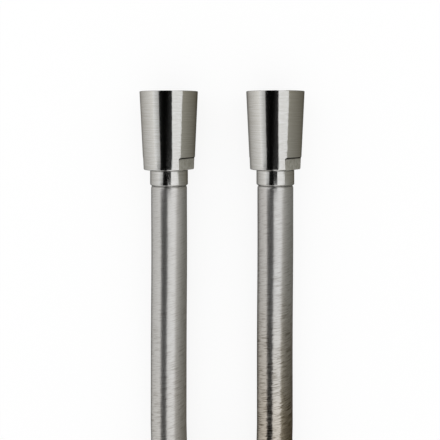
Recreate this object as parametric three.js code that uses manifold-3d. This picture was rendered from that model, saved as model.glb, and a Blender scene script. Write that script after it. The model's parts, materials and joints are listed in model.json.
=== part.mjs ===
// Flexible shower hose: one smooth hose with a captive cone nut at each end.
// Millimetres, +Z up. The hose lies on the floor, z = 0, with both nuts pointing to +Y.
// Each nut rests along the side of its cone, so its axis dips a little towards the hose.
// Places along a fitting are depths, counted from the nut's mouth.
import * as THREE from 'three';
import { mergeVertices } from 'three/addons/utils/BufferGeometryUtils.js';
import Module from 'manifold-3d';

const wasm = await Module();
wasm.setup();

// Every running and resting gap between two pieces
const clearance = 0.3;
const endSpacing = 43.9; // between the two fittings' axes

// Cone nut, bored for a half-inch pipe thread
const nutLength = 32.2;
const mouthRadius = 12;
const tailRadius = 10.49; // where the cone would meet the tail face
const rimBreak = 0.25;
const tailRound = 0.6;
const tailBreak = 0.4; // inside edge of the tail
const threadRadius = 9.32; // crests of the thread
const threadLength = 10.2;
const threadEntry = 1.3; // chamfer that leads the pipe into the thread
const reliefRadius = 9.9;
const reliefRunout = 0.6;

// Two wrench flats at the nut's tail
const flatDistance = 8.25; // from the axis
const flatLength = 5.2;
const flatCorner = 0.8; // the milling cutter's nose, between a flat and the ledge above it
// Degrees from straight up towards +X: each nut lies as it happens to be turned
const flatTurn = { left: 64.6, right: 56.4 };

// Sealing washer
const washerDepth = 10.4;
const washerThickness = 2;
const washerHoleRadius = 5.2;

// Nipple: flange, neck and barbed stem, turned in one piece
const waterRadius = 3.2;
const flangeThickness = 2.2;
const flangeBreak = 0.3;
const neckRadius = 4.9;
const barbRadius = 4.2;
const barbHeight = 0.45;
const barbCount = 4;
const barbPitch = 4.4;

// Crimped ferrule: a thin sleeve inside the nut, and the collar that shows below it
const ferruleWall = 0.6;
const sleeveRadius = 7.1;
const lipThickness = 1.2;
const collarRadius = 7.8;
const collarLength = 6.2;
const collarChamfer = 0.5;
const countersink = 1.3;

// Hose
const hoseRadius = 7.4;
const hoseBore = 4.1;
const hoseSides = 12;
const legSteps = 9;

// The far middle of the hose, folded twice and stacked two high
const loopRadius = 52;
const topLoopY = -197;
const bottomLoopY = -327.5;
const lowerTurnShift = 20; // the second turn swings this much wider at the bottom
const hankInset = -226; // the ends have joined the runs here
const levels = 2;

// Middle line of a leg after its straight start: [distance from the middle, y, z].
// It eases down to the floor, then bends out to the hank's run.
const legRoute = [
  [21.95, -58, 8.42],
  [21.95, -72, 7.96],
  [21.95, -88, 7.6],
  [21.95, -104, 7.45],
  [21.95, -117, 7.42],
  [21.95, -130, 7.42],
  [24.82, -149.2, 7.42],
  [32.34, -168.4, 7.42],
];
const legStraight = 25;

// Worked out from the sizes above
const nutBore = sleeveRadius + clearance;
const washerRadius = threadRadius - clearance;
const flangeDepth = washerDepth + washerThickness + clearance;
const neckDepth = flangeDepth + flangeThickness;
const shoulderDepth = neckDepth + clearance; // the nut's inner shoulder and the ferrule's top
const hoseEndDepth = shoulderDepth + lipThickness + clearance;
const stemDepth = hoseEndDepth + barbCount * barbPitch;
const collarDepth = nutLength + clearance;
const exitDepth = collarDepth + collarLength;
const ferruleBore = sleeveRadius - ferruleWall;
const exitBore = collarRadius - collarChamfer - clearance;

const coneTilt = Math.atan((mouthRadius - tailRadius) / nutLength);
const coneRadius = (depth) => mouthRadius - depth * Math.tan(coneTilt);
const mouthHeight = mouthRadius * Math.cos(coneTilt);
// The origin is on the floor, midway between the mouth's far edge and the collar's far edge
const mouthY =
  (exitDepth * Math.cos(coneTilt) + (collarRadius - mouthRadius) * Math.sin(coneTilt)) / 2;

const steel = { color: 0xb9b6ae, metalness: 1, roughness: 0.28 };
const finishes = {
  nut: new THREE.MeshStandardMaterial({ ...steel, name: 'brushed nickel' }),
  ferrule: new THREE.MeshStandardMaterial({ ...steel, roughness: 0.24, name: 'stainless steel' }),
  nipple: new THREE.MeshStandardMaterial({
    name: 'brass', color: 0xb08d4a, metalness: 1, roughness: 0.35,
  }),
  washer: new THREE.MeshStandardMaterial({
    name: 'black rubber', color: 0x1c1c1c, metalness: 0, roughness: 0.8,
  }),
  hose: new THREE.MeshStandardMaterial({
    name: 'metallised vinyl', color: 0xa8a59c, metalness: 0.8, roughness: 0.35,
  }),
};

// A ring turned from a closed outline of [radius, depth] pairs: down the inside, up the outside.
function turned(outline, sides) {
  const points = outline.map(([radius, depth]) => new THREE.Vector2(radius, -depth));
  points.push(points[0].clone());
  return new THREE.LatheGeometry(points, sides);
}

function toSolid(geometry) {
  const plain = geometry.clone();
  plain.deleteAttribute('normal');
  plain.deleteAttribute('uv');
  const merged = mergeVertices(plain, 1e-4);
  return new wasm.Manifold(new wasm.Mesh({
    numProp: 3,
    vertProperties: new Float32Array(merged.attributes.position.array),
    triVerts: new Uint32Array(merged.index.array),
  }));
}

function toGeometry(solid) {
  const { vertProperties, triVerts } = solid.getMesh();
  const geometry = new THREE.BufferGeometry();
  geometry.setAttribute('position', new THREE.BufferAttribute(vertProperties, 3));
  geometry.setIndex(new THREE.BufferAttribute(triVerts, 1));
  geometry.computeVertexNormals();
  return geometry;
}

// Quarter round from the tail face up to the cone, listed outwards.
function tailCorner() {
  const steps = 4;
  const centreDepth = nutLength - tailRound;
  const centreRadius = coneRadius(centreDepth) - tailRound / Math.cos(coneTilt);
  return Array.from({ length: steps + 1 }, (_, i) => {
    const turn = (i / steps) * (Math.PI / 2 - coneTilt);
    return [
      centreRadius + tailRound * Math.sin(turn),
      centreDepth + tailRound * Math.cos(turn),
    ];
  });
}

function nutGeometry(end) {
  const body = toSolid(turned([
    [threadRadius + threadEntry, 0],
    [threadRadius, threadEntry],
    [threadRadius, threadLength],
    [reliefRadius, threadLength + reliefRunout],
    [reliefRadius, shoulderDepth],
    [nutBore, shoulderDepth],
    [nutBore, nutLength - tailBreak],
    [nutBore + tailBreak, nutLength],
    ...tailCorner(),
    [coneRadius(rimBreak), rimBreak],
    [mouthRadius - rimBreak, 0],
  ], 48));

  // The cutter stands beyond the flat and below the ledge, wider than the cone
  const reach = mouthRadius + 1;
  const ledge = nutLength - flatLength;
  const outline = new THREE.Shape();
  outline.moveTo(flatDistance, -nutLength - 1);
  outline.lineTo(reach, -nutLength - 1);
  outline.lineTo(reach, -ledge);
  outline.absarc(
    flatDistance + flatCorner, -ledge - flatCorner, flatCorner, Math.PI / 2, Math.PI, false,
  );
  const cutter = new THREE.ExtrudeGeometry(outline, {
    depth: 2 * reach, bevelEnabled: false, curveSegments: 4,
  });
  cutter.translate(0, 0, -reach);
  cutter.rotateY(THREE.MathUtils.degToRad(flatTurn[end]) - Math.PI / 2);
  const opposite = cutter.clone().rotateY(Math.PI);
  return toGeometry(body.subtract(toSolid(cutter)).subtract(toSolid(opposite)));
}

function washerGeometry() {
  return turned([
    [washerHoleRadius, washerDepth],
    [washerHoleRadius, washerDepth + washerThickness],
    [washerRadius, washerDepth + washerThickness],
    [washerRadius, washerDepth],
  ], 40);
}

function nippleGeometry() {
  // From the stem's tip up: each barb ramps out and steps back in
  const barbs = [];
  for (let i = 0; i < barbCount; i++) {
    const tip = stemDepth - i * barbPitch;
    barbs.push([barbRadius - barbHeight, tip]);
    barbs.push([barbRadius, tip - 0.8 * barbPitch]);
    barbs.push([barbRadius - barbHeight, tip - 0.8 * barbPitch]);
  }
  return turned([
    [waterRadius, flangeDepth],
    [waterRadius, stemDepth],
    ...barbs,
    [barbRadius - barbHeight, hoseEndDepth],
    [neckRadius, hoseEndDepth],
    [neckRadius, neckDepth],
    [washerRadius - flangeBreak, neckDepth],
    [washerRadius, neckDepth - flangeBreak],
    [washerRadius, flangeDepth + flangeBreak],
    [washerRadius - flangeBreak, flangeDepth],
  ], 32);
}

function ferruleGeometry() {
  return turned([
    [neckRadius + clearance, shoulderDepth],
    [neckRadius + clearance, shoulderDepth + lipThickness],
    [ferruleBore, shoulderDepth + lipThickness],
    [ferruleBore, exitDepth - countersink],
    [exitBore, exitDepth],
    [collarRadius - collarChamfer, exitDepth],
    [collarRadius, exitDepth - collarChamfer],
    [collarRadius, collarDepth],
    [sleeveRadius, collarDepth],
    [sleeveRadius, shoulderDepth],
  ], 48);
}

// The squeezed end of the hose, between the barbs and the ferrule.
function hoseEndGeometry() {
  const squeezed = ferruleBore - clearance;
  return turned([
    [barbRadius + clearance, hoseEndDepth + clearance],
    [barbRadius + clearance, stemDepth + clearance],
    [hoseBore, stemDepth + countersink],
    [hoseBore, exitDepth],
    [exitBore - clearance, exitDepth],
    [squeezed, exitDepth - countersink],
    [squeezed, hoseEndDepth + clearance],
  ], 32);
}

function circle(radius, sides) {
  return Array.from({ length: sides }, (_, i) => {
    const turn = (2 * Math.PI * i) / sides;
    return new THREE.Vector2(radius * Math.cos(turn), radius * Math.sin(turn));
  });
}

// Long outline with round ends, between two loop centres.
function stadium(radius, topY, bottomY) {
  const outline = new THREE.Shape();
  outline.absarc(0, topY, radius, 0, Math.PI);
  outline.absarc(0, bottomY, radius, Math.PI, 2 * Math.PI);
  return outline;
}

function slab(outline, height) {
  return new THREE.ExtrudeGeometry(outline, {
    depth: height, bevelEnabled: false, curveSegments: 16,
  });
}

// A leg leaves the ferrule straight, comes down to the floor and runs into the hank.
function legGeometry(side) {
  const alongFitting = (depth) => new THREE.Vector3(
    (side * endSpacing) / 2,
    mouthY - depth * Math.cos(coneTilt),
    mouthHeight - depth * Math.sin(coneTilt),
  );
  const start = exitDepth + clearance;
  const points = [alongFitting(start), alongFitting(start + legStraight)];
  for (const [x, y, z] of legRoute) points.push(new THREE.Vector3(side * x, y, z));

  const section = new THREE.Shape(circle(hoseRadius, hoseSides));
  section.holes.push(new THREE.Path(circle(hoseBore, hoseSides)));
  const tube = new THREE.ExtrudeGeometry(section, {
    steps: legSteps, extrudePath: new THREE.CatmullRomCurve3(points), bevelEnabled: false,
  });
  const hankReach = loopRadius + hoseRadius + clearance;
  const bottom = bottomLoopY - lowerTurnShift;
  const hank = slab(stadium(hankReach, topLoopY, bottom), 4 * levels * hoseRadius);
  hank.translate(0, 0, -levels * hoseRadius);
  return toGeometry(toSolid(tube).subtract(toSolid(hank)));
}

// Everything that the folded hose fills: a slab round the open middle of its loops.
function hankGeometry() {
  const bottom = bottomLoopY - lowerTurnShift;
  const outline = stadium(loopRadius + hoseRadius, topLoopY, bottom);
  const inside = loopRadius - hoseRadius;
  const hole = new THREE.Path();
  hole.absarc(0, bottomLoopY, inside, 2 * Math.PI, Math.PI, true);
  hole.absellipse(0, hankInset, inside, topLoopY + inside - hankInset, Math.PI, 0, true);
  outline.holes.push(hole);
  return slab(outline, 2 * levels * hoseRadius);
}

const hose = new THREE.Group();

function add(parent, name, geometry, material) {
  const mesh = new THREE.Mesh(geometry, material);
  mesh.name = name;
  parent.add(mesh);
}

for (const [end, side] of [['left', -1], ['right', 1]]) {
  const fitting = new THREE.Group();
  fitting.position.set((side * endSpacing) / 2, mouthY, mouthHeight);
  fitting.rotation.x = coneTilt;
  add(fitting, `${end}_nut`, nutGeometry(end), finishes.nut);
  add(fitting, `${end}_washer`, washerGeometry(), finishes.washer);
  add(fitting, `${end}_nipple`, nippleGeometry(), finishes.nipple);
  add(fitting, `${end}_ferrule`, ferruleGeometry(), finishes.ferrule);
  add(fitting, `${end}_hose_end`, hoseEndGeometry(), finishes.hose);
  hose.add(fitting);
  add(hose, `${end}_hose_leg`, legGeometry(side), finishes.hose);
}
add(hose, 'hose_hank', hankGeometry(), finishes.hose);

export default hose;
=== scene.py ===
# Shower hose: its looks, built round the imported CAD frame.
# The dictionaries hold millimetres and degrees; everything in Blender is in metres, +Z up.
import json
import bmesh
import bpy
import numpy as np
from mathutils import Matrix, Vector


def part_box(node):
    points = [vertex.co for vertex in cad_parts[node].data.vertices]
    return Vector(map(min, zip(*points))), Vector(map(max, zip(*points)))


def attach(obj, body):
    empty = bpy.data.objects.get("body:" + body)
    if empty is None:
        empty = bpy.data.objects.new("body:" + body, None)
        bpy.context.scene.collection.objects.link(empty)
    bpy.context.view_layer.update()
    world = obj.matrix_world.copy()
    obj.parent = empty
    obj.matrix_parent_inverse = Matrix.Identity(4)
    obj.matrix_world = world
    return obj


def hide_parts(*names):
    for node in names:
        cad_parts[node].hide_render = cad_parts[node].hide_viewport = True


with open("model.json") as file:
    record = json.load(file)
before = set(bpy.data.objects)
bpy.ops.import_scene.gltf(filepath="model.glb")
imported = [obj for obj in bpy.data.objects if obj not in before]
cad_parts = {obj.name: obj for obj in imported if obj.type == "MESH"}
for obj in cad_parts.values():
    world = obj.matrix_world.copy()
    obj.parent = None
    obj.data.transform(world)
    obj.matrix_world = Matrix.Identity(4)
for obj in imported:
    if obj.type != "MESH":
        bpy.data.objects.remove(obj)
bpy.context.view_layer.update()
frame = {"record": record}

scene = bpy.context.scene
mm = 0.001

# How the two fittings lie, from the record: both mouths face one way, and rest at one height
mounts = {mount["name"]: mount for mount in frame["record"]["mounts"]}
mouthDirection = np.array(mounts["left_rim"]["axis"])
mouthY, mouthZ = mounts["left_rim"]["pos_m"][1:]


def axisX(end):
    low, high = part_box(f"{end}_nut")
    return (low[0] + high[0]) / 2


def onFitting(end, x, depth, z):
    # From a fitting's own places, in mm, to the row frame: depth counts from the nut's mouth
    rise, run = mouthDirection[2], mouthDirection[1]
    x, depth, z = np.broadcast_arrays(x * mm, depth * mm, z * mm)
    return np.stack([axisX(end) + x, mouthY - depth * run - z * rise,
                     mouthZ - depth * rise + z * run], axis=-1)


# Meshes from grids of points

def gridFaces(rows, columns, along, around):
    # Face (i, j) spans rows i, i + 1 and columns j, j + 1, counted round, with as many rows of
    # faces as along has steps. The UV map holds metres: along the outline, then around it.
    i, j = np.meshgrid(np.arange(len(along) - 1), np.arange(columns), indexing="ij")
    corners = [(i, j), (i, j + 1), (i + 1, j + 1), (i + 1, j)]
    faces = np.stack([(a % rows) * columns + b % columns for a, b in corners], -1)
    uv = np.stack([np.stack([along[a], around[b]], -1) for a, b in corners], axis=2)
    return faces.reshape(-1, 4), uv.reshape(-1, 4, 2)


def closedGrid(name, points, along, around):
    # A grid that joins up both ways, as a turned ring does
    faces, uv = gridFaces(*points.shape[:2], along, around)
    flat = points.reshape(-1, 3)
    # Six times the volume inside the faces: negative where they point inwards
    a, b, c, d = (flat[faces[:, k]] for k in range(4))
    volume = np.einsum("ij,ij->", a, np.cross(b, c)) + np.einsum("ij,ij->", a, np.cross(c, d))
    if volume < 0:
        faces, uv = faces[:, ::-1], uv[:, ::-1]
    return meshPiece(name, flat, faces, uv)


def addObject(name, data):
    made = bpy.data.objects.new(name, data)
    bpy.context.collection.objects.link(made)
    return made


def plainMesh(name, points, faces, uv):
    mesh = bpy.data.meshes.new(name)
    mesh.from_pydata(points, [], faces.tolist())
    mesh.uv_layers.new(name="UVMap").data.foreach_set("uv", uv.astype(np.float32).ravel())
    return addObject(name, mesh)


def meshPiece(name, points, faces, uv):
    piece = plainMesh(name, points, faces, uv)
    piece.data.shade_smooth()
    piece.data.set_sharp_from_angle(angle=np.radians(28))
    return piece


def addValues(piece, name, values):
    attribute = piece.data.attributes.new(name, "FLOAT", "POINT")
    attribute.data.foreach_set("value", np.asarray(values, np.float32).ravel())


def unit(vectors):
    return vectors / np.linalg.norm(vectors, axis=-1, keepdims=True)


def runningLength(points):
    return np.concatenate([[0], np.cumsum(np.linalg.norm(np.diff(points, axis=0), axis=1))])


def closedLength(points):
    # The same along a closed line, with the closing step at the end
    return runningLength(np.vstack([points, points[:1]]))


def rounded(corners, steps=4):
    # Closed outline with each corner (radius from axis, depth, edge round) replaced by an arc
    # that touches both of its sides: tangent length = round * tan(half the turn)
    corners = np.array(corners, float)
    places, rounds = corners[:, :2], corners[:, 2]
    outline = []
    for k, (place, edgeRound) in enumerate(zip(places, rounds)):
        if edgeRound == 0:
            outline.append(place)
            continue
        back, ahead = unit(places[k - 1] - place), unit(places[(k + 1) % len(places)] - place)
        half = np.arccos(np.clip(back @ ahead, -1, 1)) / 2
        centre = place + unit(back + ahead) * edgeRound / np.sin(half)
        first = place + back * edgeRound / np.tan(half) - centre
        last = place + ahead * edgeRound / np.tan(half) - centre
        for t in np.linspace(0, 1, steps + 1):
            outline.append(centre + unit(first * (1 - t) + last * t) * edgeRound)
    return np.array(outline)


def turnedPiece(name, end, outline, columns=128):
    # Each outline point (radius, depth) goes round the fitting's axis:
    # x = radius * sin(turn), z = radius * cos(turn)
    turn = np.linspace(0, 2 * np.pi, columns, endpoint=False)
    radius, depth = outline[:, :1], outline[:, 1:]
    points = onFitting(end, radius * np.sin(turn), depth, radius * np.cos(turn))
    widest = outline[:, 0].max()
    around = np.linspace(0, 2 * np.pi * widest, columns + 1) * mm
    return closedGrid(name, points, closedLength(outline) * mm, around)


# Materials

def linear(hexColour):
    # sRGB hex to linear, each channel by the sRGB curve
    channels = np.array([int(hexColour[k:k + 2], 16) for k in (1, 3, 5)]) / 255
    low, high = channels / 12.92, ((channels + 0.055) / 1.055) ** 2.4
    return (*np.where(channels <= 0.04045, low, high), 1.0)


def addNode(tree, kind, settings=None, **inputs):
    # A shader node with its settings, and its inputs as values or as links from other nodes
    node = tree.nodes.new("ShaderNode" + kind)
    for key, value in (settings or {}).items():
        setattr(node, key, value)
    for key, value in inputs.items():
        socket = node.inputs[int(key[1:]) if key[1:].isdigit() else key.replace("_", " ")]
        if isinstance(value, bpy.types.NodeSocket):
            tree.links.new(value, socket)
        else:
            socket.default_value = value
    return node


def emptyMaterial(name):
    material = bpy.data.materials.new(name)
    material.use_nodes = True
    material.node_tree.nodes.clear()
    return material, material.node_tree


def finishSurface(tree, **inputs):
    shader = addNode(tree, "BsdfPrincipled", **inputs)
    addNode(tree, "OutputMaterial", Surface=shader.outputs["BSDF"])


def calculated(tree, operation, first, second=0.0):
    return addNode(tree, "Math", {"operation": operation}, _0=first, _1=second).outputs[0]


def brushLines(tree, look, kind, angle=0, detail=3.0, seed=0.0):
    # Fine lines across a piece: noise drawn out to its kind's length along the lines and squeezed
    # to its spacing across them, turned on the UV map by the brush's angle
    scale = (look[f"{kind}Spacing"] * mm, look[f"{kind}Length"] * mm, 1)
    uv = addNode(tree, "UVMap", {"uv_map": "UVMap"})
    placed = addNode(tree, "Mapping", {"vector_type": "TEXTURE"}, Vector=uv.outputs["UV"],
                     Rotation=(0, 0, angle), Scale=scale, Location=(seed, seed, 0))
    noise = addNode(tree, "TexNoise", {"noise_dimensions": "2D"}, Vector=placed.outputs["Vector"],
                    Scale=1.0, Detail=detail, Roughness=0.6)
    return noise.outputs["Fac"]


def spread(tree, value, low, high, to=(0.0, 1.0)):
    return addNode(tree, "MapRange", Value=value, From_Min=low, From_Max=high,
                   To_Min=to[0], To_Max=to[1]).outputs["Result"]


def mixedColour(tree, fac, first, second):
    node = addNode(tree, "Mix", {"data_type": "RGBA"}, _0=fac, _6=first, _7=second)
    return node.outputs[2]


def twoTones(tree, look, second, value, start, end):
    # The look's own colour up to one value, its second one from the other on
    return mixedColour(tree, spread(tree, value, start, end), linear(look["colour"]),
                       linear(look[second]))


def clouds(tree, scale, detail, roughness=0.5):
    # Noise that isn't drawn out, in the object's own coordinates
    place = addNode(tree, "TexCoord").outputs["Object"]
    return addNode(tree, "TexNoise", Vector=place, Scale=scale, Detail=detail,
                   Roughness=roughness).outputs["Fac"]


def madeValue(tree, name):
    # A value that addValues wrote on the mesh
    return addNode(tree, "Attribute", {"attribute_name": name}).outputs["Fac"]


def alongOutline(tree):
    return addNode(tree, "Tangent", {"direction_type": "UV_MAP", "uv_map": "UVMap"}).outputs[0]


def uvParts(tree):
    uv = addNode(tree, "UVMap", {"uv_map": "UVMap"}).outputs["UV"]
    return addNode(tree, "SeparateXYZ", Vector=uv).outputs


def relief(tree, height, depth, strength=0.6):
    return addNode(tree, "Bump", Strength=strength, Distance=depth * mm,
                   Height=height).outputs["Normal"]


def brushedSurface(tree, look, lines, height, depth):
    # Metal brushed round: it blurs what it reflects along its outline only
    finishSurface(tree, Base_Color=twoTones(tree, look, "groove", lines, *look["tones"]),
                  Metallic=1, Roughness=look["roughness"], Anisotropic=look["anisotropy"],
                  Tangent=alongOutline(tree), Normal=relief(tree, height, depth))


brushedNickelLook = {
    "colour": "#D9D9D7",
    "groove": "#CFCECA",
    "tones": (0.65, 0.35),
    "roughness": 0.2,
    "anisotropy": 0.97,
    "lineSpacing": 0.45,  # real brush lines are finer; drawn this coarse so that they show
    "lineLength": 9.0,
    "fleckSpacing": 0.9,
    "fleckLength": 3.5,
    "fleckDepth": 0.05,
}


def brushedNickel():
    # Nickel plate on turned brass, brushed while it spun: sharp bands along the cone, with very
    # fine rings across them; short strokes of the brush tilt the surface a little, so that the
    # bands' edges and the darker side look streaked
    look = brushedNickelLook
    material, tree = emptyMaterial("brushed nickel plate")
    lines = brushLines(tree, look, "line")
    flecks = brushLines(tree, look, "fleck", detail=0.5, seed=0.4)
    brushedSurface(tree, look, lines, flecks, look["fleckDepth"])
    return material


milledNickelLook = {
    "colour": "#DCDCD6",
    "scuff": "#C3C2B8",
    "paintedCornerShade": "#1E1C18",  # painted shade, darkening the corner under the ledge
    "roughness": (0.44, 0.56),
    "scuffSize": 1.6,
}


def milledNickel():
    # The same plate over a flat from a milling cutter: satin, with soft scuffs, and a painted
    # shade that darkens the corner under the ledge and the flat's edges near it
    look = milledNickelLook
    material, tree = emptyMaterial("nickel plate on milled flats")
    scuffs = clouds(tree, 1 / (look["scuffSize"] * mm), 3.0, 0.55)
    colour = twoTones(tree, look, "scuff", scuffs, 0.4, 0.65)
    # Painted shade: the flat goes dark in the corner under the ledge and along its edges near it
    colour = mixedColour(tree, madeValue(tree, "paintedCornerShade"), colour, linear(look["paintedCornerShade"]))
    finishSurface(tree, Base_Color=colour, Metallic=0.85,
                  Roughness=spread(tree, scuffs, 0.3, 0.7, look["roughness"]))
    return material


turnedStainlessLook = {
    "colour": "#DDDDDB",
    "groove": "#D2D1CE",
    "tones": (0.6, 0.4),
    "roughness": 0.22,
    "anisotropy": 0.96,
    "lineSpacing": 0.4,
    "lineLength": 12.0,
    "lineDepth": 0.0015,
}


def turnedStainless():
    # Thin stainless tube, rolled and crimped, with the fine rings that the polishing belt left
    look = turnedStainlessLook
    material, tree = emptyMaterial("stainless steel sleeve")
    lines = brushLines(tree, look, "line", seed=0.7)
    brushedSurface(tree, look, lines, lines, look["lineDepth"])
    return material


turnedBrassLook = {
    "colour": "#C9A463",
    "tarnish": "#9A7640",
    "roughness": (0.28, 0.44),
    "markSpacing": 0.3,
    "markLength": 30,
    "markDepth": 0.02,
    "tarnishScale": 260,
}


def turnedBrass():
    # Free-cutting brass straight off the lathe: tool marks in rings, a little dulled
    look = turnedBrassLook
    material, tree = emptyMaterial("turned brass")
    marks = brushLines(tree, look, "mark", seed=0.3)
    dull = clouds(tree, look["tarnishScale"], 3.0)
    finishSurface(tree, Base_Color=twoTones(tree, look, "tarnish", dull, 0.35, 0.75),
                  Metallic=1, Roughness=spread(tree, dull, 0.3, 0.7, look["roughness"]),
                  Normal=relief(tree, marks, look["markDepth"]))
    return material


rubberLook = {
    "colour": "#232323",
    "bloom": "#3A3936",
    "roughness": 0.62,
    "grain": 0.25,
    "grainDepth": 0.02,
    "bloomScale": 400,
}


def mouldedRubber():
    # Black nitrile rubber from a mould: matt, with a fine grain and a trace of bloom
    look = rubberLook
    material, tree = emptyMaterial("black rubber")
    grain = clouds(tree, 1 / (look["grain"] * mm), 2.0)
    bloom = clouds(tree, look["bloomScale"], 4.0)
    finishSurface(tree, Base_Color=twoTones(tree, look, "bloom", bloom, 0.4, 0.75),
                  Roughness=look["roughness"], Normal=relief(tree, grain, look["grainDepth"], 0.3))
    return material


vinylLook = {
    "colour": "#D5D5D4",
    "warm": "#D1CAC0",
    "groove": "#6A6150",
    "roughness": 0.37,
    "brushAngle": -12,  # the lines climb to the right as they go round
    "wornRoughness": 0.28,
    "lineSpacing": 0.3,  # drawn coarser than the real ones, so that they show
    "lineLength": 5.0,
    "fleckSpacing": 0.8,
    "fleckLength": 3.0,
    "fleckDepth": 0.24,
    "scatter": 0.09,
    "toneSpacing": 70.0,
    "toneLength": 60.0,
}


def metallisedVinyl():
    # Vinyl hose with a foil of brushed steel under a clear skin: softer bands than the nut's,
    # and fine slanting lines, faint near one end and plain towards the other
    look = vinylLook
    material, tree = emptyMaterial("metallised vinyl, brushed steel look")
    angle = np.radians(look["brushAngle"])
    lines = brushLines(tree, look, "line", angle, detail=4.0)
    tones = brushLines(tree, look, "tone", detail=1.0, seed=0.11)
    flecks = brushLines(tree, look, "fleck", angle, detail=0.5, seed=0.4)
    wear = madeValue(tree, "wear")
    warmth = calculated(tree, "MULTIPLY", spread(tree, tones, 0.15, 0.5),
                        spread(tree, wear, 0.4, 1.0, (0.15, 1.0)))
    base = mixedColour(tree, warmth, linear(look["colour"]), linear(look["warm"]))
    marks = calculated(tree, "MULTIPLY", spread(tree, lines, 0.5, 0.34), wear)
    # Scratches scatter a little light, which shows in the dark bands
    scatter = calculated(tree, "MULTIPLY", spread(tree, lines, 0.5, 0.64, (0.0, -look["scatter"])),
                         wear)
    finishSurface(
        tree, Base_Color=mixedColour(tree, marks, base, linear(look["groove"])),
        Metallic=calculated(tree, "ADD", scatter, spread(tree, wear, 0.5, 1.0, (0.93, 1.0))),
        Roughness=spread(tree, wear, 0.5, 1.0, (look["roughness"], look["wornRoughness"])),
        Anisotropic=0.8, Tangent=alongOutline(tree),
        Normal=relief(tree, calculated(tree, "MULTIPLY", flecks, wear), look["fleckDepth"]))
    return material


# The camera looks down on the hose's two ends, square to the nuts but for a small lean

cameraPlace = {
    "imageSize": 440,
    "pixel": 0.4124,  # mm on the object, at the height of the nuts' axes
    "distance": 320,
    "eyeLevel": 119,  # pixel row where the camera looks square at a nut
    "mouthRow": 91.35,  # pixel row of the mouths
    "middleColumn": 222.15,  # pixel column midway between the fittings
    "lean": 1.35,
    "turn": -0.1,
}


def makeCamera():
    place = cameraPlace
    back = (place["eyeLevel"] - place["mouthRow"]) * place["pixel"]
    foot = onFitting("left", 0.0, back, 0.0)
    square = np.array([0, -mouthDirection[2], mouthDirection[1]])
    spot = np.array([0, foot[1], foot[2]]) + square * place["distance"] * mm
    spot[0] = (place["imageSize"] / 2 - place["middleColumn"]) * place["pixel"] * mm
    data = bpy.data.cameras.new("camera")
    focal = place["distance"] / place["pixel"]  # in pixels
    data.lens = focal / place["imageSize"] * data.sensor_width
    # The object's eye level stands above the optical axis by the angle between the two
    tilt = np.arctan2(mouthDirection[2], mouthDirection[1]) - np.radians(place["lean"])
    axisRow = place["eyeLevel"] + focal * np.tan(tilt)
    data.shift_y = (axisRow - place["imageSize"] / 2) / place["imageSize"]
    camera = addObject("camera", data)
    camera.location = spot
    camera.rotation_euler = (np.radians(place["lean"]), 0, np.radians(place["turn"]))
    scene.camera = camera
    print("camera: lens", round(data.lens, 2), "shift", round(data.shift_y, 4))


makeCamera()


# The hose: one tube from nipple to nipple. Its legs' points are the source's own.

hoseSizes = {
    "radius": 7.4,
    "bore": 4.1,
    "stretchedBore": 4.5,  # over the barbs
    "squeezedRadius": 6.2,  # under the ferrules
    "exitRadius": 6.65,
    "startDepth": 17.0,
    "exitDepth": 38.7,
    "swell": 0.9,  # length over which it swells out of a ferrule
    "straight": 25,  # length that a leg goes on along its fitting's axis
    "floorZ": 7.42,  # its middle where it lies on the floor
    "loopRadius": 52,
    "topLoopY": -197,
    "bottomLoopY": -327.5,
    "lowerTurnShift": 20,
    "hankStartY": -226,  # where the legs end and the hank starts
    "loopPoints": 18,  # of a half turn
    "straightStep": 22,  # between the points of a straight run
    "firstFree": 1.4,  # from a ferrule to the first of the evenly spaced rings
    "ringSpacing": 2.6,
    "sides": 48,
}

# Middle line of a leg after its straight start: distance from the middle, y, z
legRoute = [
    (21.95, -58, 8.42), (21.95, -72, 7.96), (21.95, -88, 7.6), (21.95, -104, 7.45),
    (21.95, -117, 7.42), (21.95, -130, 7.42), (24.82, -149.2, 7.42), (32.34, -168.4, 7.42),
    (41.63, -187.6, 7.42), (49.14, -206.8, 7.42), (52.0, -226, 7.42),
]

# Both legs bend a little to the left on their way down, as they do in the photo: y, distance
legBend = np.array([(-226, 0), (-160, 0.36), (-117, 0.36), (-88, 0.3), (-72, 0.2), (-50, 0)])

# How plainly the brush lines show, by the length from the nearer nipple: faint on the left leg,
# stronger at its foot and all along the right one
leftWear = [(22, 0.2), (60, 0.25), (87, 0.35), (107, 0.45), (125, 0.45), (240, 0.35)]
rightWear = [(260, 0.35), (125, 1.0), (107, 0.85), (87, 0.7), (62, 0.45), (45, 0.3), (22, 0.25)]


def halfLoop(centreY, fromTurn, toTurn, heights):
    # Half a turn round (0, centreY): x = R cos t, y = centreY + R sin t, with a height for each t
    sizes = hoseSizes
    t = np.linspace(fromTurn, toTurn, sizes["loopPoints"] + 1)
    x, y = sizes["loopRadius"] * np.cos(t), centreY + sizes["loopRadius"] * np.sin(t)
    return np.stack([x, y, heights(t)], -1)


def straightRun(x, fromY, toY, z):
    # The points of a straight run between two loops, its ends left to the loops
    steps = max(2, int(abs(toY - fromY) / hoseSizes["straightStep"]))
    y = np.linspace(fromY, toY, steps + 1)[1:-1]
    return np.stack([np.full_like(y, x), y, np.full_like(y, z)], -1)


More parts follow.
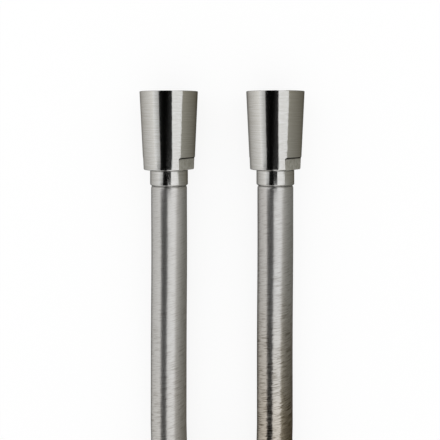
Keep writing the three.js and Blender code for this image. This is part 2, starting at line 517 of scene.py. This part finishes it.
def hoseRoute():
    # Left leg, lower loop going up to the second level, top loop over both legs, the second
    # lower loop coming down again, right leg. cos^2 of the turn gives a soft climb.
    sizes = hoseSizes
    floorZ, stackedZ = sizes["floorZ"], sizes["floorZ"] + 2 * sizes["radius"]
    climb = stackedZ - floorZ
    legs = {}
    for end, side in (("left", -1), ("right", 1)):
        start, leave = sizes["startDepth"], sizes["exitDepth"]
        depths = np.array([start, 24.0, 31.0, leave, leave + 12, leave + sizes["straight"]])
        inner = onFitting(end, 0.0, depths, 0.0)
        leg = np.array(legRoute) * (side, 1, 1)
        leg[:, 0] -= np.interp(leg[:, 1], *legBend.T)
        legs[end] = np.vstack([inner / mm, leg])
    lowerY, upperY = sizes["bottomLoopY"], sizes["topLoopY"]
    secondY = lowerY - sizes["lowerTurnShift"]
    radius = sizes["loopRadius"]
    rising = halfLoop(lowerY, np.pi, 2 * np.pi,
                      lambda t: floorZ + climb * np.clip(np.cos(t), 0, 1) ** 2)
    over = halfLoop(upperY, 0, np.pi, lambda t: stackedZ + 0 * t)
    falling = halfLoop(secondY, np.pi, 2 * np.pi,
                       lambda t: floorZ + climb * np.clip(-np.cos(t), 0, 1) ** 2)
    return np.vstack([
        legs["left"],
        straightRun(-radius, sizes["hankStartY"], lowerY, floorZ),
        rising,
        straightRun(radius, lowerY, upperY, stackedZ),
        over,
        straightRun(-radius, upperY, secondY, stackedZ),
        falling,
        straightRun(radius, secondY, sizes["hankStartY"], floorZ),
        legs["right"][::-1],
    ])


def smoothLine(points):
    # Catmull-Rom through the points, knots spaced by chord length: fine points along the curve,
    # and the length up to each
    ends = np.vstack([2 * points[0] - points[1], points, 2 * points[-1] - points[-2]])
    knots = runningLength(ends)
    slopes = (ends[2:] - ends[:-2]) / (knots[2:] - knots[:-2])[:, None]
    spans = knots[2:-1] - knots[1:-2]
    fine = np.linspace(knots[1], knots[-2], 32 * len(points))
    k = np.clip(np.searchsorted(knots[1:-1], fine, side="right") - 1, 0, len(spans) - 1)
    s = ((fine - knots[1:-2][k]) / spans[k])[:, None]
    h = spans[k][:, None]
    line = ((2 * s**3 - 3 * s**2 + 1) * points[k] + (s**3 - 2 * s**2 + s) * h * slopes[k]
            + (3 * s**2 - 2 * s**3) * points[k + 1] + (s**3 - s**2) * h * slopes[k + 1])
    return line, runningLength(line)


def makeHose():
    sizes = hoseSizes
    line, length = smoothLine(hoseRoute())
    total = length[-1]
    inside = sizes["exitDepth"] - sizes["startDepth"]
    first = inside + sizes["firstFree"]
    free = np.linspace(first, total - first, int((total - 2 * inside) / sizes["ringSpacing"]))
    # Rings close together where its radius changes: at its start and as it leaves the ferrule
    mouthRings = np.array([0, 0.4, 6, 12, 18, 20.2, 21.0, *(inside + np.arange(5) / 4)])
    stations = np.concatenate([mouthRings, free, total - mouthRings[::-1]])
    ring = np.stack([np.interp(stations, length, line[:, k]) for k in range(3)], -1)
    tangent = unit(np.gradient(ring, stations, axis=0))
    side = unit(np.cross(tangent, (0, 0, 1)))
    up = np.cross(side, tangent)
    # Radius by the distance from the nearer end: squeezed, then swelling out as it leaves
    fromEnd = np.minimum(stations, total - stations)
    squeezed, leaving = sizes["squeezedRadius"], sizes["exitRadius"]
    outer = np.interp(fromEnd, [0, 0.4, inside - 1.3, inside, inside + 0.25, inside + 0.5,
                                inside + sizes["swell"]],
                      [squeezed - 0.4, squeezed, squeezed, leaving, leaving + 0.42, leaving + 0.62,
                       sizes["radius"]])
    bore = np.interp(fromEnd, [inside - 4, inside], [sizes["stretchedBore"], sizes["bore"]])
    # One closed grid: out along the outside, back along the bore; the seam is underneath
    turn = np.linspace(-np.pi, np.pi, sizes["sides"], endpoint=False)
    rows = np.concatenate([np.arange(len(stations)), np.arange(len(stations))[::-1]])
    radii = np.concatenate([outer, bore[::-1]])[:, None, None]
    around = (np.sin(turn)[None, :, None] * side[rows][:, None]
              + np.cos(turn)[None, :, None] * up[rows][:, None])
    points = (ring[rows][:, None] + radii * around) * mm
    runLength = np.concatenate([stations, stations[::-1], [stations[0]]]) * mm
    girth = np.linspace(-np.pi, np.pi, sizes["sides"] + 1) * sizes["radius"] * mm
    hose = closedGrid("hose", points, runLength, girth)
    table = np.array(leftWear + [(total - place, value) for place, value in rightWear])
    wear = np.interp(stations, *table.T)
    addValues(hose, "wear", np.repeat(wear[:, None], sizes["sides"], axis=1)[rows])
    hose.data.materials.append(metallisedVinyl())
    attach(hose, "hose")
    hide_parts("left_hose_end", "left_hose_leg", "hose_hank", "right_hose_leg",
                "right_hose_end")
    print("hose:", round(total), "mm along its middle,", round(total - 2 * inside), "mm free")
    return hose, ring * mm, total * mm


hose, hoseLine, hoseLength = makeHose()


# Cone nuts: threaded, bored and milled

nutSizes = {
    "length": 32.2,
    "mouthRadius": 12.0, "rimRound": 0.25,
    "tailRadius": 10.49, "tailRound": 0.6,
    "threadHeight": 0.58,  # half the depth from crest to root
    "threadPitch": 1.814, "threadLength": 10.2, "threadEntry": 1.3, "threadRunOut": 1.6,
    "threadRows": 18,  # of its surface, a turn
    "threadStart": 0.12, "crestRadius": 9.32, "reliefRadius": 9.9, "shoulderDepth": 15.2,
    "bore": 7.4, "boreBreak": 0.4,
    "flatDistance": 8.25, "flatLength": 5.2, "flatCorner": 0.8,
    "leftFlatTurn": 64.6,  # from straight up: each nut lies as it happens to be turned
    "rightFlatTurn": 56.4,
    "flatWide": 45,  # half the angle that holds a flat and its finer columns
    # Painted shade on the flats: how far it darkens them from the ledge, and along their edges
    "paintedShadeLength": 0.8,  # on the flat, from the ledge
    "edgePaintedShadeHeight": 0.3,  # along the flat's edges, as the height of the cone cut away
    "edgePaintedShadeLength": 1.1,
    "meanRadius": 11,
}


def nutColumns(cut, wide, turnedBy):
    # Angles round half a nut, then the other half: even steps over a flat, from -cut to cut,
    # then to wide, then across the plain cone
    cut, wide = np.radians(cut), np.radians(wide)
    half = np.concatenate([
        np.linspace(-cut, cut, 25)[:-1],
        np.linspace(cut, wide, 17)[:-1],
        np.linspace(wide, np.pi - wide, 46)[:-1],
        np.linspace(np.pi - wide, np.pi - cut, 17)[:-1],
    ])
    return np.concatenate([half, half + np.pi]) + turnedBy


def nutRows():
    # Every row of a nut's surface as (radius, depth, kind, cut, wide), down the inside and up
    # the outside. Kinds: "thread" adds the thread, "outer" is limited by the flats.
    sizes = nutSizes
    length, mouth, tailRound = sizes["length"], sizes["mouthRadius"], sizes["tailRound"]
    crest, threadEnd = sizes["crestRadius"], sizes["threadLength"]
    relieved, shoulder = sizes["reliefRadius"], sizes["shoulderDepth"]
    bore, bevel = sizes["bore"], sizes["boreBreak"]
    # Half the angle of the 24 columns over a flat, where all 202 are even, and 16 further on
    even, evenWide = 12 * 360 / 202, 28 * 360 / 202
    slope = np.arctan((mouth - sizes["tailRadius"]) / length)
    cone = lambda depth: mouth - depth * np.tan(slope)
    threadDepths = np.arange(sizes["threadStart"], threadEnd,
                             sizes["threadPitch"] / sizes["threadRows"])
    rows = [(0, depth, "thread", even, evenWide) for depth in threadDepths]
    # The last two corners only close the outline, so that the ones before them are rounded
    closing = bore + 5
    plain = rounded([
        (crest, threadEnd, 0), (relieved, threadEnd + 0.6, 0), (relieved, shoulder, 0.3),
        (bore, shoulder, 0.15), (bore, length - bevel, 0), (bore + bevel, length, 0),
        (closing, length, 0), (closing, 0, 0),
    ])[:-2]
    rows += [(radius, depth, "plain", even, evenWide) for radius, depth in plain]
    # Tail corner and flats. Every row puts two of its columns on the edges of each flat.
    wide = sizes["flatWide"]
    cornerDepth = length - tailRound
    cornerRadius = cone(cornerDepth) - tailRound / np.cos(slope)
    turn = np.linspace(0, np.pi / 2 - slope, 6)
    radii = cornerRadius + tailRound * np.sin(turn)
    depths = cornerDepth + tailRound * np.cos(turn)
    ledge, corner = length - sizes["flatLength"], sizes["flatCorner"]
    below = np.concatenate([
        np.linspace(cornerDepth - 0.4, ledge + corner, 7)[:-1],
        ledge + corner * (1 - np.sin(np.linspace(0, np.pi / 2, 8))),
    ])
    radii, depths = np.append(radii, cone(below)), np.append(depths, below)
    cuts = np.degrees(np.arccos(flatPlane(depths) / radii))
    rows += [(radius, depth, "outer", cut, wide) for radius, depth, cut in zip(radii, depths, cuts)]
    above = np.concatenate([[ledge - 0.08, ledge - 0.2], np.linspace(ledge - 1, 0.6, 14)])
    rows += [(cone(depth), depth, "outer", cuts[-1], wide) for depth in above]
    entry = crest + sizes["threadEntry"]
    rim = rounded([(cone(0.6), 0.6, 0), (mouth, 0, sizes["rimRound"]), (entry, 0, 0.1),
                   (crest, sizes["threadEntry"], 0)])[1:-1]
    middle = (mouth + entry) / 2
    rows += [(radius, depth, "rim", *((cuts[-1], wide) if radius > middle else (even, evenWide)))
             for radius, depth in rim]
    return rows


def flatPlane(depth):
    # A flat's distance from the axis at each depth: the plane itself, then the cutter's nose,
    # distance + r - sqrt(r^2 - rise^2), and above the ledge no limit at all
    sizes = nutSizes
    nose = sizes["flatCorner"]
    rise = sizes["length"] - sizes["flatLength"] + nose - depth
    plane = sizes["flatDistance"] + nose - np.sqrt(nose**2 - np.clip(rise, 0, nose) ** 2)
    return np.where(rise > nose + 1e-6, 99.0, plane)


def nutSurface(turnedBy):
    sizes = nutSizes
    radii, depths, kinds, cuts, wides = map(np.array, zip(*nutRows()))
    turn = np.array([nutColumns(cut, wide, turnedBy) for cut, wide in zip(cuts, wides)])
    radius, depth = radii[:, None] + 0 * turn, depths[:, None] + 0 * turn
    # Right-handed thread: middle + height * sin(2 pi depth / pitch + turn), never inside the
    # entry's cone, and fading out before the relief
    thread = kinds == "thread"
    fade = np.clip((sizes["threadLength"] - depth) / sizes["threadRunOut"], 0, 1)
    wave = np.sin(2 * np.pi * depth / sizes["threadPitch"] + turn)
    cut = sizes["crestRadius"] + sizes["threadHeight"] * (1 + wave) * fade
    entry = sizes["crestRadius"] + sizes["threadEntry"] - depth
    radius[thread] = np.maximum(cut, entry)[thread]
    # Flats: radius * cos(turn from the flat) stays under the flat's plane
    outer = (kinds == "outer")[:, None]
    limit = flatPlane(depth) / np.maximum(np.abs(np.cos(turn - turnedBy)), 0.01)
    milled = outer & (limit < radius + 1e-6)
    whole, radius = radius, np.where(outer, np.minimum(radius, limit), radius)
    # Painted shade: dark on the flat just under the ledge, and along its edges near the ledge
    below = depth - (sizes["length"] - sizes["flatLength"])
    paintedCornerShade = np.clip((sizes["paintedShadeLength"] - below) / 0.25, 0, 1)
    shadeAlongEdges = (np.clip(1 - (whole - limit) / sizes["edgePaintedShadeHeight"], 0, 1)
                * np.clip((sizes["edgePaintedShadeLength"] - below) / 0.3, 0, 1))
    paintedCornerShade = np.maximum(paintedCornerShade, shadeAlongEdges) * milled
    return radius, depth, turn, milled, paintedCornerShade


def makeNut(end):
    turnedBy = np.radians(nutSizes[f"{end}FlatTurn"])
    radius, depth, turn, milled, paintedCornerShade = nutSurface(turnedBy)
    points = onFitting(end, radius * np.sin(turn), depth, radius * np.cos(turn))
    # UV: the outline's own length away from the flats, and the mean girth shared evenly by the
    # columns' angles
    plainColumn = 60
    outline = np.stack([radius[:, plainColumn], depth[:, plainColumn]], -1)
    around = np.append(turn[-1], turn[-1][0] + 2 * np.pi) * nutSizes["meanRadius"] * mm
    nut = closedGrid(f"{end}_cone_nut", points, closedLength(outline) * mm, around)
    # The painted corner shade, for the flats' material
    addValues(nut, "paintedCornerShade", paintedCornerShade)
    nut.data.materials.append(nickel)
    nut.data.materials.append(flatNickel)
    # A face belongs to a flat where all four of its corners are milled
    corners = np.zeros(4 * len(nut.data.polygons), int)
    nut.data.polygons.foreach_get("vertices", corners)
    onFlat = milled.ravel()[corners.reshape(-1, 4)].all(axis=1)
    nut.data.polygons.foreach_set("material_index", onFlat.astype(np.int32))
    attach(nut, f"{end}_nut")
    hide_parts(f"{end}_nut")


# Small turned pieces inside and below each nut

endSizes = {
    "washerDepth": 10.4, "washerThickness": 2.0, "washerRadius": 9.02, "washerHole": 5.2,
    "flangeDepth": 12.7, "flangeThickness": 2.2, "neckRadius": 4.9, "waterRadius": 3.2,
    "barbRadius": 4.2, "barbHeight": 0.45, "barbCount": 4, "barbPitch": 4.4,
    "hoseEndDepth": 16.7,
    "ferruleTop": 15.2, "lipThickness": 1.2, "lipRadius": 5.2,
    "sleeveRadius": 7.1, "sleeveBore": 6.5,
    "collarDepth": 32.5, "collarRadius": 7.8, "collarChamfer": 0.5,
    "exitDepth": 38.7, "exitBore": 7.0, "countersink": 1.3,
}


def washerOutline():
    sizes = endSizes
    top, hole, edge = sizes["washerDepth"], sizes["washerHole"], sizes["washerRadius"]
    bottom = top + sizes["washerThickness"]
    return rounded([(hole, top, 0.3), (hole, bottom, 0.3), (edge, bottom, 0.3), (edge, top, 0.3)],
                   5)


def nippleOutline():
    sizes = endSizes
    flange, hoseEnd, pitch = sizes["flangeDepth"], sizes["hoseEndDepth"], sizes["barbPitch"]
    water, neck, rim = sizes["waterRadius"], sizes["neckRadius"], sizes["washerRadius"]
    stemEnd = hoseEnd + sizes["barbCount"] * pitch
    neckEnd = flange + sizes["flangeThickness"]
    root = sizes["barbRadius"] - sizes["barbHeight"]
    corners = [(water, flange, 0.35), (water, stemEnd, 0.1)]
    for i in range(sizes["barbCount"]):
        tip = stemEnd - i * pitch
        back = tip - 0.8 * pitch
        corners += [(root, tip, 0), (sizes["barbRadius"], back, 0.05), (root, back, 0)]
    corners += [(root, hoseEnd, 0), (neck, hoseEnd, 0.1), (neck, neckEnd, 0.2),
                (rim, neckEnd, 0.3), (rim, flange, 0.3)]
    return rounded(corners)


def ferruleOutline():
    sizes = endSizes
    top, collarTop, bottom = sizes["ferruleTop"], sizes["collarDepth"], sizes["exitDepth"]
    lip, bore, sleeve = sizes["lipRadius"], sizes["sleeveBore"], sizes["sleeveRadius"]
    collar, chamfer = sizes["collarRadius"], sizes["collarChamfer"]
    underLip = top + sizes["lipThickness"]
    return rounded([
        (lip, top, 0.15), (lip, underLip, 0.15), (bore, underLip, 0.3),
        (bore, bottom - sizes["countersink"], 0.5), (sizes["exitBore"], bottom, 0.05),
        (collar - chamfer, bottom, 0.08), (collar, bottom - chamfer, 0.12),
        (collar, collarTop, 0.12), (sleeve, collarTop, 0.15), (sleeve, top, 0.4),
    ])


nickel = brushedNickel()
flatNickel = milledNickel()
stainless = turnedStainless()
brass = turnedBrass()
rubber = mouldedRubber()

turnedPieces = [("washer", washerOutline(), rubber), ("nipple", nippleOutline(), brass),
                ("ferrule", ferruleOutline(), stainless)]
for end in ("left", "right"):
    makeNut(end)
    for piece, outline, material in turnedPieces:
        made = turnedPiece(f"{end}_{piece}_surface", end, outline)
        made.data.materials.append(material)
        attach(made, "hose")
        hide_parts(f"{end}_{piece}")
print("fittings: done")


# Two twist ties hold the folded middle together

tieSizes = {
    "y": -272.0,
    "width": 4.2,
    "thickness": 0.5,
    "wire": 0.2,  # how far the wire stands up under the plastic, both ways
    "wireWidth": 0.55,
    "sectionPoints": 20,
    "pressedIn": 0.6,  # the soft hose gives under the tie where it lies on the floor
    "turns": 3.5,
    "twistHeight": 14.8,
    "twistLength": 9.0,
    "twistGap": 0.75,  # from the middle of the twist to each end's own middle
    "twistWidth": 0.32,  # share of the width that is left where it is wound up
    "sag": 0.02,  # mm down, times the square of the length
    "tailLength": 11.0,
    "tailSpread": 24,
}


def ribbonSection():
    # Round a flat ribbon: across = w/2 cos^p t, thick = (t/2 + wire's bump in the middle) sin^p t,
    # with a power p under 1 for its square look
    sizes = tieSizes
    squared = lambda value: np.sign(value) * np.abs(value) ** 0.6
    t = np.linspace(0, 2 * np.pi, sizes["sectionPoints"], endpoint=False)
    across = sizes["width"] / 2 * squared(np.cos(t))
    bump = sizes["wire"] * np.exp(-(across / sizes["wireWidth"]) ** 2)
    thick = (sizes["thickness"] / 2 + bump) * squared(np.sin(t))
    return across[None, :, None], thick[None, :, None]


def tieLoop(side):
    # Round two hoses lying on each other: an outline of two half circles and two straights,
    # x = side * (loop radius + r sin a), z = centre + r cos a, with the ribbon's width along y
    sizes, hoseRadius = tieSizes, hoseSizes["radius"]
    low, high = hoseSizes["floorZ"], hoseSizes["floorZ"] + 2 * hoseRadius
    arc = np.linspace(-np.pi / 2, np.pi / 2, 25)
    rest = sizes["thickness"] / 2 + 0.05
    radius = np.full(25, hoseRadius + rest)
    under = hoseRadius - (rest + sizes["pressedIn"]) * np.clip(np.cos(arc) * 1.6 - 0.3, 0, 1) + rest
    x = np.concatenate([radius * np.sin(arc), under * np.sin(-arc)])
    z = np.concatenate([high + radius * np.cos(arc), low - under * np.cos(arc)])
    return side * (hoseSizes["loopRadius"] + x), z


def makeTie(side, name):
    sizes, points = tieSizes, tieSizes["sectionPoints"]
    across, thick = ribbonSection()
    x, z = tieLoop(side)
    path = np.stack([x, np.full_like(x, sizes["y"]), z], -1)
    tangent = unit(np.roll(path, -1, axis=0) - np.roll(path, 1, axis=0))
    out = np.cross(tangent, (0, 1, 0))
    ribbon = (path[:, None] + across * np.array([0, 1, 0]) + thick * out[:, None]) * mm
    girth = np.append(np.linspace(0, 2, points), 2.1) * sizes["width"] * mm
    band = closedGrid(f"{name}_tie_band", ribbon, closedLength(path) * mm, girth)
    # The twisted ends: two ribbons wound round each other, then spread apart. They start on the
    # band's inner side and point to the middle of the hank.
    ends = []
    for half, start in (("upper", 0.0), ("lower", np.pi)):
        s = np.linspace(0, 1, 61) * (sizes["twistLength"] + sizes["tailLength"])
        wound = np.clip(s / sizes["twistLength"], 0, 1)
        free = np.clip(s - sizes["twistLength"], 0, None)
        turn = start + 2 * np.pi * sizes["turns"] * wound
        offset = sizes["twistGap"] + free * np.tan(np.radians(sizes["tailSpread"]))
        centre = np.array([side * (hoseSizes["loopRadius"] - hoseSizes["radius"] - 0.2),
                           sizes["y"], sizes["twistHeight"]])
        line = centre + np.stack([-side * s, offset * np.cos(turn), offset * np.sin(turn)
                                  - sizes["sag"] * s**2], -1)
        along = unit(np.gradient(line, axis=0))
        wide = np.stack([0 * turn, -np.sin(turn), np.cos(turn)], -1)
        wide = unit(wide - along * (wide * along).sum(axis=1, keepdims=True))
        face = np.cross(along, wide)
        narrow = sizes["twistWidth"] + (1 - sizes["twistWidth"]) * np.clip(free / 4, 0, 1)
        strip = (line[:, None] + narrow[:, None, None] * across * wide[:, None]
                 + thick * face[:, None]) * mm
        # Both ends close to a point, so that the ribbon is one closed skin
        strip = np.concatenate([np.repeat(line[:1, None] * mm, points, axis=1), strip,
                                np.repeat(line[-1:, None] * mm, points, axis=1)])
        ends.append(cappedTube(f"{name}_tie_{half}_end", strip))
    for piece in (band, *ends):
        piece.data.materials.append(tiePlastic)
        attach(piece, "hose")
    return [band, *ends]


def cappedTube(name, points):
    # Rings in a row, the first and the last shrunk to a point each, merged afterwards
    rows, columns = points.shape[:2]
    step = 0.4 * mm
    faces, uv = gridFaces(rows, columns, np.arange(rows) * step, np.arange(columns + 1) * step)
    tube = meshPiece(name, points.reshape(-1, 3), faces, uv)
    mesh = bmesh.new()
    mesh.from_mesh(tube.data)
    bmesh.ops.remove_doubles(mesh, verts=mesh.verts, dist=1e-6)
    bmesh.ops.recalc_face_normals(mesh, faces=mesh.faces)
    mesh.to_mesh(tube.data)
    mesh.free()
    return tube


tiePlasticLook = {
    "colour": "#2B2B2C",
    "rub": "#4A4A4B",
    "roughness": 0.42,
    "ribSpacing": 0.6,
    "ribDepth": 0.03,
    "rubScale": 350,
}


def extrudedPlastic():
    # Soft PVC extruded over a wire: dark, half gloss, with fine ribs along it and rubbed spots
    look = tiePlasticLook
    material, tree = emptyMaterial("twist tie PVC")
    turns = calculated(tree, "MULTIPLY", uvParts(tree)["Y"], 2 * np.pi / (look["ribSpacing"] * mm))
    ribs = calculated(tree, "SINE", turns)
    rubbed = clouds(tree, look["rubScale"], 3.0)
    finishSurface(tree, Base_Color=twoTones(tree, look, "rub", rubbed, 0.45, 0.75),
                  Roughness=look["roughness"], Normal=relief(tree, ribs, look["ribDepth"], 0.4))
    return material


tiePlastic = extrudedPlastic()
tiePieces = makeTie(-1, "left") + makeTie(1, "right")
print("ties: done")

exitPoint = onFitting("left", 0.0, hoseSizes["exitDepth"], 0.0)


# Floor, cards and light

# Cards that only reflections see, as a photographer stands them round bright metal. A far black
# one over everything makes the dark band; pale and dark ones stand between the bars and lie low
# beside them; and strips over each bar trim the dark band and light it on both sides.
cardPlaces = {
    "overheadHeight": 1500,
    "overheadAngles": (-74, 15),  # from straight up, + to the right
    "overheadReach": 20000,
    "lowHeight": 0.05,
}

# The light on a bar's left and right, zone by zone along it: red, green and blue on the floor
# under it, at the side card's foot and at its top, at the zone's first y and its last. "edge" is
# the angle at which the card's top is seen at each, "curve" how late it brightens on its way up,
# and "lowCurve" how late the floor does on its way out.
hoseZone = {"fromY": -21, "toY": -150, "axisZ": 8.0, "radius": 7.4}
leftOfHose = {"edge": (-53, -56), "curve": 1.0, "lowCurve": 4.5}
rightOfHose = {"edge": (44, 36), "curve": 1.9, "lowCurve": 1.4,
               "first": ((0.12, 0.12, 0.1), (0.18, 0.18, 0.16), (0.72, 0.71, 0.69))}
sideLight = {
    "nut": {
        "fromY": 60, "toY": -21, "axisZ": 11.4, "radius": 11.2,
        "left": {"edge": (-57, -57), "curve": 1.0, "lowCurve": 4.5,
                 "first": ((0.03, 0.025, 0.02), (0.22, 0.2, 0.17), (1.05, 1.02, 0.98)),
                 "last": ((0.2, 0.2, 0.19), (0.42, 0.41, 0.39), (1.0, 0.99, 0.98))},
        "right": {"edge": (54, 54), "curve": 1.1, "lowCurve": 4.0,
                  "first": ((0.02, 0.015, 0.008), (0.045, 0.034, 0.02), (0.35, 0.32, 0.25)),
                  "last": ((0.1, 0.09, 0.075), (0.17, 0.16, 0.13), (0.36, 0.355, 0.32))},
    },
    "left_hose": {
        **hoseZone,
        "left": {**leftOfHose,
                 "first": ((0.08, 0.08, 0.07), (0.52, 0.52, 0.51), (0.88, 0.88, 0.87)),
                 "last": ((0.1, 0.1, 0.09), (0.68, 0.67, 0.65), (0.92, 0.91, 0.89))},
        "right": {**rightOfHose,
                  "last": ((0.1, 0.09, 0.06), (0.16, 0.145, 0.115), (0.6, 0.58, 0.54))},
    },
    "right_hose": {
        **hoseZone,
        "left": {**leftOfHose,
                 "first": ((0.07, 0.07, 0.06), (0.46, 0.45, 0.44), (0.86, 0.84, 0.82)),
                 "last": ((0.06, 0.055, 0.045), (0.46, 0.44, 0.4), (0.85, 0.82, 0.77))},
        "right": {**rightOfHose,
                  "last": ((0.03, 0.02, 0.008), (0.05, 0.035, 0.01), (0.36, 0.32, 0.22))},
    },
}

# The bar under a strip: y, height of its axis, radius, and how far the strip drifts round it
nutBar = [(46, 13.25, 13.25, 0), (2, 11.17, 11.17, 0), (-12.3, 10.5, 10.5, 2.2)]
collarBar = [(-12.9, 10.45, 7.8, 0), (-20.4, 10.14, 7.8, 0)]
hoseTopBar = [(-21, 10.05, 7.4, 0), (-34, 9.48, 7.4, -0.7)]
hoseBar = [(-31, 9.62, 7.4, -0.5), (-40, 9.2, 7.4, -1), (-60, 8.35, 7.4, -3), (-90, 7.6, 7.4, -5.5),
           (-150, 7.42, 7.4, -6.5)]

# Strips of light over each bar: name, bar, and for its two edges the distance from the bar, the
# angle as seen, and the light. The hose's strip slants, so that the next bar is behind it.
stripCards = [
    ("nut_left", nutBar, (14, 14), (-66, -39.8), (1.0, 0.5)),
    ("nut_dim", nutBar, (14, 14), (-3, 12.9), (0.006, 0.025)),
    ("nut_right", nutBar, (14, 14), (12.9, 29), (1.05, 1.0)),
    ("collar_left", collarBar, (12, 12), (-66, -38), (0.92, 0.45)),
    ("collar_right", collarBar, (12, 12), (12, 59), (1.05, 1.0)),
    ("hose_top", hoseTopBar, (12, 12), (-9.5, 27), (1.0, 1.0)),
    ("hose_right", hoseBar, (38, 22), (-9, 27), (1.0, 1.0)),
]


def makeCard(name, corners, toward, first, last=None, curve=1.0):
    # A grid of corners in mm, [along the card][foot or top], seen only from the side of the
    # point toward. first and last are the light at its foot and its top where the card starts
    # and where it ends: low + (high - low) h^curve
    rows = len(corners)
    points = np.array(corners, float).reshape(-1, 3)
    places = np.array([(k // 2 / (rows - 1), k % 2) for k in range(2 * rows)])
    faces = np.array([(2 * k, 2 * k + 2, 2 * k + 3, 2 * k + 1) for k in range(rows - 1)])
    corner, second, _, fourth = points[faces[0]]
    normal = np.cross(second - corner, fourth - corner)
    if normal @ (np.array(toward) - points.mean(axis=0)) < 0:
        faces = faces[:, ::-1]
    card = plainMesh(name, points * mm, faces, places[faces.ravel()])
    card.visible_camera = card.visible_diffuse = False
    card.visible_shadow = card.visible_transmission = False
    material, tree = emptyMaterial(name)
    place = uvParts(tree)
    height = calculated(tree, "POWER", place["Y"], curve)
    ends = [mixedColour(tree, height, (*low, 1), (*high, 1)) for low, high in (first, last or first)]
    shade = mixedColour(tree, place["X"], ends[0], ends[1])
    glow = addNode(tree, "Emission", Color=shade, Strength=1.0)
    clear = addNode(tree, "BsdfTransparent")
    behind = addNode(tree, "NewGeometry").outputs["Backfacing"]
    sided = addNode(tree, "MixShader", _0=behind, _1=glow.outputs[0], _2=clear.outputs[0])
    addNode(tree, "OutputMaterial", Surface=sided.outputs[0])
    card.data.materials.append(material)


def rayStart(end, axisZ, surface, angle):
    # Where a reflected ray starts and its direction in the x-z plane. Seen at that angle, it
    # leaves a round bar where the bar faces half the angle: start = axis + R n(angle / 2 + s),
    # direction = n(angle + s), with n(a) = (sin a, cos a) and s the bar's angle to the camera
    camera = scene.camera.location
    slant = np.arctan2(camera[0] - axisX(end), camera[2] - mouthZ)
    half, full = np.radians(angle) / 2 + slant, np.radians(angle) + slant
    start = np.array([axisX(end) / mm + surface * np.sin(half),
                      axisZ + surface * np.cos(half)])
    return start, np.array([np.sin(full), np.cos(full)])


def makeSideCards(name, zone, end):
    # A card standing halfway to the next bar, and one low on the floor up to it
    y0, y1, low = zone["fromY"], zone["toY"], cardPlaces["lowHeight"]
    spacing = (axisX("right") - axisX("left")) / mm
    axis = axisX(end) / mm
    for side, sign in (("left", -1), ("right", 1)):
        light = zone[side]
        x = axis + sign * (spacing / 2 - 0.05)
        tops = []
        for edge in light["edge"]:
            start, direction = rayStart(end, zone["axisZ"], zone["radius"], edge)
            tops.append(start[1] + direction[1] * (x - start[0]) / direction[0])
        first, last = light["first"], light["last"]
        makeCard(f"{name}_{end}_{side}_side_card",
                 [[(x, y, low), (x, y, top)] for y, top in zip((y0, y1), tops)], (axis, y0, low),
                 first[1:], last[1:], light["curve"])
        makeCard(f"{name}_{end}_{side}_low_card",
                 [[(axis, y, low), (x, y, low)] for y in (y0, y1)], (axis, y0, 99), first[:2],
                 last[:2], light["lowCurve"])


def makeStrip(name, end, bar, distances, angles, light):
    camera = np.array(scene.camera.location) / mm
    sections = []
    slopes = np.gradient([row[1] for row in bar], [row[0] for row in bar])
    for (y, axisZ, radius, drift), slope in zip(bar, slopes):
        # On its way up a ray also runs along the bar, away from the camera's own y
        along = (y - camera[1]) / (camera[2] - axisZ) - 2 * slope
        edges = []
        for distance, angle in zip(distances, angles):
            start, direction = rayStart(end, axisZ, radius, angle + drift)
            x, z = start + direction * distance
            edges.append((x, y + along * distance, z))
        sections.append(edges)
    under = (axisX(end) / mm, bar[0][0], bar[0][1])
    makeCard(name, sections, under, [(level,) * 3 for level in light])


def makeCards():
    high, reach = cardPlaces["overheadHeight"], cardPlaces["overheadReach"]
    left, right = high * np.tan(np.radians(cardPlaces["overheadAngles"]))
    makeCard("overhead_black_card", [[(left, y, high), (right, y, high)] for y in (-reach, reach)],
             (0, 0, 0), ((0.001, 0.001, 0.001),) * 2)
    for end in ("left", "right"):
        makeSideCards("nut", sideLight["nut"], end)
        makeSideCards("hose", sideLight[f"{end}_hose"], end)
        for name, *strip in stripCards:
            makeStrip(f"{name}_{end}_strip_card", end, *strip)


floorLook = {
    "halfSide": 8.0,  # metres
    "paper": (0.8, 0.8, 0.8, 1),
    "shaded": (0.15, 0.15, 0.15, 1),
    "glow": 0.85,
}


def makeFloor():
    # Pale paper; where the camera or a reflection sees it, a dimmer paper plus a glow make it
    # white and still keep the object's shadow
    look = floorLook
    corners = np.array([(-1, -1, 0), (1, -1, 0), (1, 1, 0), (-1, 1, 0)]) * look["halfSide"]
    floor = plainMesh("floor", corners, np.array([(0, 1, 2, 3)]), corners[:, :2])
    material, tree = emptyMaterial("white paper floor")
    path = addNode(tree, "LightPath").outputs
    seen = calculated(tree, "MAXIMUM", path["Is Camera Ray"], path["Is Glossy Ray"])
    seen = calculated(tree, "MAXIMUM", seen, path["Is Transmission Ray"])
    paper = addNode(tree, "BsdfDiffuse", Color=look["paper"])
    shaded = addNode(tree, "BsdfDiffuse", Color=look["shaded"])
    glow = addNode(tree, "Emission", Color=(1, 1, 1, 1), Strength=look["glow"])
    white = addNode(tree, "AddShader", _0=shaded.outputs[0], _1=glow.outputs[0])
    mixed = addNode(tree, "MixShader", _0=seen, _1=paper.outputs[0], _2=white.outputs[0])
    addNode(tree, "OutputMaterial", Surface=mixed.outputs[0])
    floor.data.materials.append(material)


def makeWorld():
    world = bpy.data.worlds.new("studio")
    scene.world = world
    world.use_nodes = True
    background = world.node_tree.nodes["Background"]
    background.inputs["Color"].default_value = (1, 1, 1, 1)
    background.inputs["Strength"].default_value = 1.0


makeFloor()
makeWorld()
makeCards()
scene.view_settings.view_transform = "Standard"
